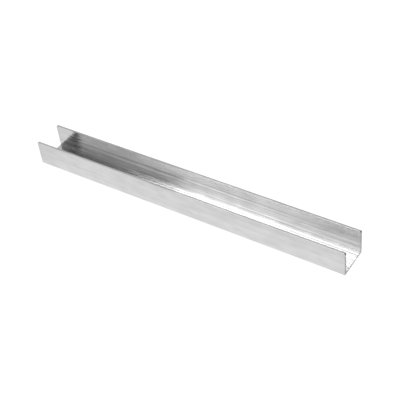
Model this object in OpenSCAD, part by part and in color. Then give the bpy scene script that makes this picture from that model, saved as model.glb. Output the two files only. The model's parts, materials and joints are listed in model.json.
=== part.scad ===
// Equal-leg aluminium U channel, extruded as one piece and sawn square at both ends.
// It lies on its web with the legs up: X runs along the length, Y across the slot, Z up,
// and the origin is the middle of the underside.

/* [Section] */
// Width over the outside of both legs
overall_w = 28; // [16:0.5:60]
// Height of the legs, measured from the underside of the web
leg_h = 23; // [10:0.5:60]
// Wall thickness of each leg
leg_t = 1.5; // [1:0.1:4]
// Wall thickness of the web
web_t = 1.5; // [1:0.1:4]
// Radius that the die leaves on every outside edge
edge_r = 0.15; // [0.1:0.05:0.45]
// Radius of the fillet between each leg and the web
fillet_r = 0.15; // [0.1:0.05:2]

/* [Cut piece] */
// Length between the two sawn ends
length = 300; // [50:10:3000]
// Height of the filed flat that takes the sharp corner off each leg tip at the sawn ends
corner_break_h = 0.8; // [0.2:0.1:3]
// How far that flat runs back from the sawn end
corner_break_l = 0.8; // [0.2:0.1:3]

/* [Hidden] */
$fn = 48;
aluminium = [0.80, 0.80, 0.81];
// Clear width between the legs
slot_w = overall_w - 2 * leg_t;
// Extra reach of a cutting tool past the faces it cuts
overcut = 1;

// One leg's outline, standing on the base line and centred, with all four corners rounded
module rounded_bar(w, h, r) {
    translate([-w / 2, r]) square([w, h - 2 * r]);
    translate([-w / 2 + r, 0]) square([w - 2 * r, h]);
    for (side = [-1, 1], y = [r, h - r])
        translate([side * (w / 2 - r), y]) circle(r);
}

// Concave fillet whose square corner is at the origin, filling the first quadrant
module corner_fillet(r) {
    difference() {
        square(r);
        translate([r, r]) circle(r);
    }
}

// The die's opening: two legs on a web, filleted inside and rounded outside
module channel_section() {
    for (side = [-1, 1])
        translate([side * (overall_w - leg_t) / 2, 0]) rounded_bar(leg_t, leg_h, edge_r);
    translate([-(overall_w - leg_t) / 2, 0]) square([overall_w - leg_t, web_t]);
    for (side = [0, 1])
        mirror([side, 0]) translate([-slot_w / 2, web_t]) corner_fillet(fillet_r);
}

// Wedge that files the corner off both leg tips at the +X end
module tip_corner_cut() {
    slope = atan2(corner_break_h, corner_break_l);
    translate([length / 2 - corner_break_l, 0, leg_h])
        rotate([0, slope, 0])
            translate([-overcut, -overall_w / 2 - overcut, 0])
                cube([norm([corner_break_h, corner_break_l]) + 2 * overcut, overall_w + 2 * overcut,
                      corner_break_h + corner_break_l]);
}

module u_channel() {
    color(aluminium)
        difference() {
            rotate([90, 0, 90]) linear_extrude(length, center = true) channel_section();
            for (end = [0, 1]) mirror([end, 0, 0]) tip_corner_cut();
        }
}

u_channel();
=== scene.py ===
import json
import math

import bmesh
import bpy
from mathutils import Matrix, Quaternion, Vector


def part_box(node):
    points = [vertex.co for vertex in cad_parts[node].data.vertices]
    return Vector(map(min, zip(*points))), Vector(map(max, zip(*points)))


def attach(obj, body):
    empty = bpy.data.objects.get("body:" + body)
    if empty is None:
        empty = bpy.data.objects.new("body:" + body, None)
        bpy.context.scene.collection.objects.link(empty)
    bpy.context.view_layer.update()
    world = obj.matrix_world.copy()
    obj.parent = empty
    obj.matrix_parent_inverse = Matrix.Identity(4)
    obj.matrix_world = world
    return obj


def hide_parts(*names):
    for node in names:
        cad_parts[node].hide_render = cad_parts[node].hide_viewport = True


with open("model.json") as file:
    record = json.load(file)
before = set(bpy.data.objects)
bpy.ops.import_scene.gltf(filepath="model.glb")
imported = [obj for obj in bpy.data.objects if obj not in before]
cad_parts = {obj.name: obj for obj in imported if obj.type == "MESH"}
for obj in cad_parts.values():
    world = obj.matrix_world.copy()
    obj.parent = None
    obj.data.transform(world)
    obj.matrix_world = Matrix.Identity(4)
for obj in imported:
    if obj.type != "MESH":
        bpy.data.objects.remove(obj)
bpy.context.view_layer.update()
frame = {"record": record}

# The channel: one equal-leg U section of aluminium, pushed hot through a die and sawn to length.
# It is a single piece, so its mesh starts as the die's opening and is drawn out along X.
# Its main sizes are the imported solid's: its box, and the slot's floor, one wall above the underside.
MM = 0.001
low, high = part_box("u_channel")
length, width, leg_height = high - low
slot_seat = next(mount for mount in frame["record"]["mounts"] if mount["name"] == "slot_seat")
wall = slot_seat["pos_m"][2]
edge_radius = 0.15 * MM
fillet_radius = 0.15 * MM
corner_break_height = 0.8 * MM
corner_break_length = 0.8 * MM
radius_segments = 6
tiny = 0.01 * MM

# The die's opening, as a grid of three columns and two rows on the left end with the slot taken out
columns = (low.y, low.y + wall, high.y - wall, high.y)
rows = (low.z, low.z + wall, high.z)
half_grid = 0.5
channel = bmesh.new()
bmesh.ops.create_grid(channel, x_segments=len(columns) - 1, y_segments=len(rows) - 1, size=half_grid)
for corner in channel.verts:
    column = round((corner.co.x + half_grid) * (len(columns) - 1))
    row = round((corner.co.y + half_grid) * (len(rows) - 1))
    corner.co = (low.x, columns[column], rows[row])
slot_cell = max(channel.faces, key=lambda cell: cell.calc_area())
bmesh.ops.delete(channel, geom=[slot_cell], context="FACES")

# Drawn out to the right end, with the strips of each flat merged into one face
merge_angle = math.radians(1)
drawn = bmesh.ops.extrude_face_region(channel, geom=channel.faces[:])["geom"]
right_end = [item for item in drawn if isinstance(item, bmesh.types.BMVert)]
bmesh.ops.translate(channel, verts=right_end, vec=(length, 0, 0))
bmesh.ops.recalc_face_normals(channel, faces=channel.faces)
bmesh.ops.dissolve_limit(channel, angle_limit=merge_angle, verts=channel.verts, edges=channel.edges)

# The die's radii: a fillet in both inside corners, and a small round on every outside edge
long_edges = [edge for edge in channel.edges if edge.calc_length() > length - tiny]
inside = [edge for edge in long_edges if edge.calc_face_angle_signed() < 0]
outside = [edge for edge in long_edges if edge not in inside]
for edges, radius in ((inside, fillet_radius), (outside, edge_radius)):
    bmesh.ops.bevel(channel, geom=edges, offset=radius, offset_type="OFFSET", affect="EDGES",
                    segments=radius_segments, profile=0.5, material=-1)

# The flat that a file leaves on the corner of each leg's tip, at both sawn ends
for end in (-1, 1):
    cut = bmesh.ops.bisect_plane(
        channel, geom=channel.verts[:] + channel.edges[:] + channel.faces[:], clear_outer=True,
        plane_co=(end * (length / 2 - corner_break_length), 0, leg_height),
        plane_no=(end * corner_break_height, 0, corner_break_length))
    rim = [item for item in cut["geom_cut"] if isinstance(item, bmesh.types.BMEdge)]
    bmesh.ops.edgeloop_fill(channel, edges=rim)

# Each face gets its finish by the way it faces, and only the radii are shaded smooth.
# A map of the section, with U across the die lines, tells the finish which way the lines run.
MILL, SAWN, TIP, FILED = range(4)
mostly = 0.5
squarely = math.cos(math.radians(0.5))
across = channel.loops.layers.uv.new("across_the_lines")
for face in channel.faces:
    flat_to = max(range(3), key=lambda axis: abs(face.normal[axis]))
    at_end = abs(face.normal.x) > mostly
    on_filed_corner = at_end and abs(face.normal.z) > mostly
    on_tip = face.calc_center_median().z > leg_height - tiny
    face.smooth = not at_end and abs(face.normal[flat_to]) < squarely
    face.material_index = FILED if on_filed_corner else SAWN if at_end else TIP if on_tip else MILL
    for loop in face.loops:
        x, y, z = loop.vert.co
        loop[across].uv = ((y, z), (z, x), (y, x))[flat_to]

channel_mesh = bpy.data.meshes.new("u_channel_extrusion")
channel.to_mesh(channel_mesh)
channel.free()
u_channel = bpy.data.objects.new("u_channel_extrusion", channel_mesh)
bpy.context.scene.collection.objects.link(u_channel)


def linear(hex_colour):
    """A colour written as sRGB hex, as the linear values that a shader takes."""
    channels = [int(hex_colour[i:i + 2], 16) / 255 for i in (1, 3, 5)]
    return [c / 12.92 if c <= 0.04045 else ((c + 0.055) / 1.055) ** 2.4 for c in channels] + [1.0]


def add_node(tree, kind, inputs=None, **settings):
    """A node with its settings; an input that is another node's output is linked, and any other is set."""
    node = tree.nodes.new(kind)
    for name, value in settings.items():
        setattr(node, name, value)
    for name, value in (inputs or {}).items():
        if isinstance(value, bpy.types.NodeSocket):
            tree.links.new(value, node.inputs[name])
        else:
            node.inputs[name].default_value = value
    return node


# Mill-finish aluminium: the eye sees a pale, bright grey whose reflections are drawn out and broken up
# by lines along the length. Real die lines are about 0.1 mm apart and a few thousandths deep, too fine
# to show, so they are drawn 1.8 mm apart with slopes like the real ones.
line_pitch = 1.8 * MM
line_run = 250 * MM
line_depth = 0.14 * MM
# The patchy bloom on the bare metal, and how much of the tone is bloom and not lines
bloom_width = 6 * MM
bloom_run = 14 * MM
bloom_share = 0.7
# The dull wear beside each sawn end, and two lines scored along the inside of the back leg
end_wear_width = 1.0 * MM
end_wear_strength = 1.0
scored_at = (8.0 * MM, 11.5 * MM)
score_width = 0.7 * MM
# The span that a noise pattern mostly keeps to
noise_low = 0.3
noise_high = 0.7
# A Mix node's colour sockets share their names with its number sockets, so they go by place
MIX_FACTOR, MIX_A, MIX_B = 0, 6, 7
MIX_COLOUR = 2


def extruded_finish(name, bright, dull, smoothest, roughest, stretch):
    """Bare metal from the die; stretch is how far reflections are drawn out across the lines."""
    finish = bpy.data.materials.new(name)
    finish.use_nodes = True
    tree = finish.node_tree
    tree.nodes.clear()
    place = add_node(tree, "ShaderNodeTexCoord").outputs["Object"]
    along_lines = add_node(tree, "ShaderNodeMapping", {
        "Vector": place, "Scale": (1 / line_run, 1 / line_pitch, 1 / line_pitch)})
    lines = add_node(tree, "ShaderNodeTexNoise", {
        "Vector": along_lines.outputs["Vector"], "Scale": 1.0, "Detail": 0.0})
    relief = add_node(tree, "ShaderNodeBump", {
        "Height": lines.outputs["Fac"], "Distance": line_depth, "Strength": 1.0})
    gloss = add_node(tree, "ShaderNodeMapRange", {
        "Value": lines.outputs["Fac"], "From Min": noise_low, "From Max": noise_high,
        "To Min": smoothest, "To Max": roughest})

    over_bloom = add_node(tree, "ShaderNodeMapping", {
        "Vector": place, "Scale": (1 / bloom_run, 1 / bloom_width, 1 / bloom_width)})
    bloom = add_node(tree, "ShaderNodeTexNoise", {
        "Vector": over_bloom.outputs["Vector"], "Scale": 1.0, "Detail": 1.0})
    mottle = add_node(tree, "ShaderNodeMix", {
        "Factor": bloom_share, "A": lines.outputs["Fac"], "B": bloom.outputs["Fac"]})
    dullness = add_node(tree, "ShaderNodeMapRange", {
        "Value": mottle.outputs[0], "From Min": noise_low, "From Max": noise_high})

    from_middle = add_node(tree, "ShaderNodeVectorMath", {0: place}, operation="ABSOLUTE")
    apart = add_node(tree, "ShaderNodeSeparateXYZ", {"Vector": from_middle.outputs["Vector"]})
    end_wear = add_node(tree, "ShaderNodeMapRange", {
        "Value": apart.outputs["X"], "From Min": length / 2 - end_wear_width, "From Max": length / 2,
        "To Min": 0.0, "To Max": end_wear_strength})
    worn = add_node(tree, "ShaderNodeMath", {
        0: dullness.outputs["Result"], 1: end_wear.outputs["Result"]}, operation="ADD")
    spot = add_node(tree, "ShaderNodeSeparateXYZ", {"Vector": place})
    in_slot_at_back = add_node(tree, "ShaderNodeMath", {
        0: spot.outputs["Y"], 1: width / 2 - wall, 2: tiny}, operation="COMPARE")
    for height in scored_at:
        score = add_node(tree, "ShaderNodeMath", {
            0: spot.outputs["Z"], 1: height, 2: score_width / 2}, operation="COMPARE")
        worn = add_node(tree, "ShaderNodeMath", {
            0: score.outputs["Value"], 1: in_slot_at_back.outputs["Value"], 2: worn.outputs["Value"]},
            operation="MULTIPLY_ADD")
    tone = add_node(tree, "ShaderNodeMix", {
        MIX_FACTOR: worn.outputs["Value"], MIX_A: linear(bright), MIX_B: linear(dull)},
        data_type="RGBA", clamp_factor=False)

    tangent = add_node(tree, "ShaderNodeTangent", direction_type="UV_MAP", uv_map="across_the_lines")
    metal = add_node(tree, "ShaderNodeBsdfPrincipled", {
        "Base Color": tone.outputs[MIX_COLOUR], "Metallic": 1.0, "Roughness": gloss.outputs["Result"],
        "Anisotropic": stretch, "Normal": relief.outputs["Normal"], "Tangent": tangent.outputs["Tangent"]})
    add_node(tree, "ShaderNodeOutputMaterial", {"Surface": metal.outputs["BSDF"]})
    return finish


# The drawn faces are bright and streaky, the leg tips an even matt grey, and the filed corners small, with a
# painted dark reflection as their colour
mill = extruded_finish("mill_finish_aluminium", bright="#f7f7f7", dull="#e8e8e8",
                       smoothest=0.10, roughest=0.18, stretch=0.9)
tips = extruded_finish("dull_leg_tip_aluminium", bright="#d2d2d2", dull="#c2c2c2",
                       smoothest=0.85, roughest=0.95, stretch=0.0)
# The filed corners' dark colour is a painted dark reflection, not the metal's own tone
filed_corner_painted_reflection = extruded_finish("filed_corner_painted_dark_reflection", bright="#606060", dull="#505050",
                        smoothest=0.10, roughest=0.15, stretch=0.0)

# Sawn aluminium: arcs from the blade's teeth catch less light than the drawn faces, so ends read darker,
# and the top of each leg's end carries a painted dark reflection, darker still, to match the photograph.
# Real marks are about 0.15 mm apart and are drawn 0.5 mm apart so that they show.
saw_pitch = 0.5 * MM
saw_depth = 0.03 * MM
saw_waver = 1.5
saw_waver_scale = 0.4
saw_roughness = 0.28
saw_dark = "#9c9c9c"
saw_bright = "#b4b4b4"
# The height and tone of the painted dark reflection at the top of each sawn end
painted_dark_top_height = 2.4 * MM
painted_dark_top_tone = "#606060"
# The saw's axle is in front of the channel and below it, one radius of the blade away
blade_radius = 125 * MM
axle_forward = 0.5 * blade_radius
axle_drop = 0.87 * blade_radius
# How far apart the rings of a wave pattern are, in metres, at a scale of 1
ring_spacing = 2 * math.pi / 20
sawn = bpy.data.materials.new("sawn_aluminium")
sawn.use_nodes = True
saw_tree = sawn.node_tree
saw_tree.nodes.clear()
end_place = add_node(saw_tree, "ShaderNodeTexCoord").outputs["Object"]
from_axle = add_node(saw_tree, "ShaderNodeMapping", {
    "Vector": end_place, "Location": (0, axle_forward, axle_drop)})
marks = add_node(saw_tree, "ShaderNodeTexWave", {
    "Vector": from_axle.outputs["Vector"], "Scale": ring_spacing / saw_pitch,
    "Distortion": saw_waver, "Detail": 2.0, "Detail Scale": saw_waver_scale},
    wave_type="RINGS", rings_direction="X")
saw_relief = add_node(saw_tree, "ShaderNodeBump", {
    "Height": marks.outputs["Fac"], "Distance": saw_depth, "Strength": 1.0})
saw_tone = add_node(saw_tree, "ShaderNodeMix", {
    MIX_FACTOR: marks.outputs["Fac"], MIX_A: linear(saw_dark), MIX_B: linear(saw_bright)}, data_type="RGBA")
end_spot = add_node(saw_tree, "ShaderNodeSeparateXYZ", {"Vector": end_place})
# Painted dark reflection: each sawn end darkens towards the top of its leg
painted_dark_top = add_node(saw_tree, "ShaderNodeMapRange", {
    "Value": end_spot.outputs["Z"], "From Min": leg_height - painted_dark_top_height,
    "From Max": leg_height - painted_dark_top_height / 2, "To Min": 0.0, "To Max": 1.0})
end_tone = add_node(saw_tree, "ShaderNodeMix", {
    MIX_FACTOR: painted_dark_top.outputs["Result"], MIX_A: saw_tone.outputs[MIX_COLOUR], MIX_B: linear(painted_dark_top_tone)},
    data_type="RGBA")
end_metal = add_node(saw_tree, "ShaderNodeBsdfPrincipled", {
    "Base Color": end_tone.outputs[MIX_COLOUR], "Metallic": 1.0, "Roughness": saw_roughness,
    "Normal": saw_relief.outputs["Normal"]})
add_node(saw_tree, "ShaderNodeOutputMaterial", {"Surface": end_metal.outputs["BSDF"]})

# In the order of MILL, SAWN, TIP and FILED
for finish in (mill, sawn, tips, filed_corner_painted_reflection):
    channel_mesh.materials.append(finish)
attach(u_channel, "root")
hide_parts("u_channel")

# The floor: a plain white studio table, wide enough to fill every view. It glows evenly instead of being
# lit, a little more beside the channel, where a real table gets light back off the bright metal.
# The camera sees it, and the room beyond, as just over white.
floor_radius = 4.0
floor_sides = 96
floor_glow = 0.66
spill_glow = 0.12
spill_reach = 40 * MM
seen_white = 1.05
WHITE = (1, 1, 1, 1)
table = bmesh.new()
bmesh.ops.create_circle(table, cap_ends=True, segments=floor_sides, radius=floor_radius)
floor_mesh = bpy.data.meshes.new("floor")
table.to_mesh(floor_mesh)
table.free()
floor = bpy.data.objects.new("floor", floor_mesh)
bpy.context.scene.collection.objects.link(floor)
white = bpy.data.materials.new("white_table")
white.use_nodes = True
table_tree = white.node_tree
table_tree.nodes.clear()
table_place = add_node(table_tree, "ShaderNodeTexCoord").outputs["Object"]
table_from_middle = add_node(table_tree, "ShaderNodeVectorMath", {0: table_place}, operation="ABSOLUTE")
table_apart = add_node(table_tree, "ShaderNodeSeparateXYZ", {"Vector": table_from_middle.outputs["Vector"]})
beside = add_node(table_tree, "ShaderNodeMapRange", {
    "Value": table_apart.outputs["Y"], "From Min": width / 2, "From Max": width / 2 + spill_reach,
    "To Min": spill_glow, "To Max": 0.0})
within = add_node(table_tree, "ShaderNodeMapRange", {
    "Value": table_apart.outputs["X"], "From Min": length / 2 - spill_reach / 2,
    "From Max": length / 2 + spill_reach / 2, "To Min": 1.0, "To Max": 0.0})
spill = add_node(table_tree, "ShaderNodeMath", {
    0: beside.outputs["Result"], 1: within.outputs["Result"], 2: floor_glow}, operation="MULTIPLY_ADD")
table_ray = add_node(table_tree, "ShaderNodeLightPath")
table_glow = add_node(table_tree, "ShaderNodeMapRange", {
    "Value": table_ray.outputs["Is Camera Ray"], "To Min": spill.outputs["Value"], "To Max": seen_white})
table_light = add_node(table_tree, "ShaderNodeEmission", {
    "Color": WHITE, "Strength": table_glow.outputs["Result"]})
add_node(table_tree, "ShaderNodeOutputMaterial", {"Surface": table_light.outputs["Emission"]})
floor_mesh.materials.append(white)

# The studio light: a white room, and a half-round tent of curved cards about the channel's long axis.
# The metal mirrors the cards, so soft boxes hang where it is bright and dark flags where it is dark.
# Many bounces are followed, because light in the slot goes to and fro between the legs.
room_glow = 0.55
light_bounces = 24
tent_radius = 1.2
card_steps = 12
studio = bpy.data.worlds.new("studio")
studio.use_nodes = True
backdrop = studio.node_tree.nodes["Background"]
room_ray = add_node(studio.node_tree, "ShaderNodeLightPath")
room_light = add_node(studio.node_tree, "ShaderNodeMapRange", {
    "Value": room_ray.outputs["Is Camera Ray"], "To Min": room_glow, "To Max": seen_white})
backdrop.inputs["Color"].default_value = WHITE
studio.node_tree.links.new(room_light.outputs["Result"], backdrop.inputs["Strength"])
bpy.context.scene.world = studio
bpy.context.scene.view_settings.view_transform = "Standard"
bpy.context.scene.cycles.max_bounces = light_bounces
bpy.context.scene.cycles.glossy_bounces = light_bounces


def hang_card(name, lowest, highest, left, right, brightness):
    """A card of the tent: degrees up from the front, metres along the channel, and its own glow."""
    sheet = bmesh.new()
    rod = [sheet.verts.new((x, -tent_radius, 0)) for x in (left, right)]
    sheet.edges.new(rod)
    bmesh.ops.rotate(sheet, verts=sheet.verts, cent=(0, 0, 0),
                     matrix=Matrix.Rotation(math.radians(-lowest), 3, "X"))
    bmesh.ops.spin(sheet, geom=sheet.verts[:] + sheet.edges[:], cent=(0, 0, 0), axis=(-1, 0, 0),
                   angle=math.radians(highest - lowest), steps=card_steps)
    mesh = bpy.data.meshes.new(name)
    sheet.to_mesh(mesh)
    sheet.free()
    card = bpy.data.objects.new(name, mesh)
    bpy.context.scene.collection.objects.link(card)
    card.visible_camera = False
    finish = bpy.data.materials.new(name)
    finish.use_nodes = True
    finish.node_tree.nodes.clear()
    glow = add_node(finish.node_tree, "ShaderNodeEmission", {"Color": WHITE, "Strength": brightness})
    add_node(finish.node_tree, "ShaderNodeOutputMaterial", {"Surface": glow.outputs["Emission"]})
    mesh.materials.append(finish)


# Heights where cards start or meet, in degrees up from the front
flag_foot = 20
key_foot = 34
key_top = 42
over_top = 80
back_start = 115
# Places along the channel where cards start or meet, in metres
dark_left = -1.045
dark_right = -0.98
key_left = -0.811
key_bright_left = -0.755
key_bright_right = -0.12
over_left = -0.68
over_join = -0.40
back_join = -0.66
hang_card("key_edge", key_foot, key_top, key_left, key_bright_left, 2.2)
hang_card("key_softbox", key_foot, key_top, key_bright_left, key_bright_right, 4.8)
hang_card("key_right", key_foot, key_top, key_bright_right, 1.6, 1.2)
hang_card("over_softbox", key_top, over_top, over_left, over_join, 1.22)
hang_card("over_right", key_top, over_top, over_join, 1.6, 0.96)
hang_card("top_softbox", over_top, back_start, key_left, 1.2, 1.35)
hang_card("back_softbox", back_start, 132, key_left, back_join, 0.90)
hang_card("back_right", back_start, 133, back_join, -0.35, 0.98)
hang_card("key_flag", flag_foot, key_top, dark_right, key_left, 0.12)
hang_card("over_flag", key_top, over_top, dark_right, over_left, 0.12)
hang_card("dark_flag", flag_foot, over_top, dark_left, dark_right, 0.0)
hang_card("far_flag", flag_foot, over_top, -4.0, dark_left, 0.5)
hang_card("right_flag", 135, 170, 0.75, 2.0, 0.02)

# The camera: a short telephoto that looks down on the channel from its front right, rolled a little.
# Its place, turn and focal length put the channel's corners where the photograph shows them.
aim = Vector((0.0130, -0.0025, 0.0115))
distance = 0.7764
azimuth = math.radians(37.856)
elevation = math.radians(41.627)
roll = math.radians(-7.390)
sensor_width_mm = 36
focal_length_mm = 85.31
lens = bpy.data.cameras.new("camera")
lens.sensor_width = sensor_width_mm
lens.lens = focal_length_mm
camera = bpy.data.objects.new("camera", lens)
back = Vector((math.sin(azimuth) * math.cos(elevation),
               -math.cos(azimuth) * math.cos(elevation), math.sin(elevation)))
camera.location = aim + back * distance
camera.rotation_mode = "QUATERNION"
camera.rotation_quaternion = (-back).to_track_quat("-Z", "Y") @ Quaternion((0, 0, 1), roll)
bpy.context.scene.collection.objects.link(camera)
bpy.context.scene.camera = camera
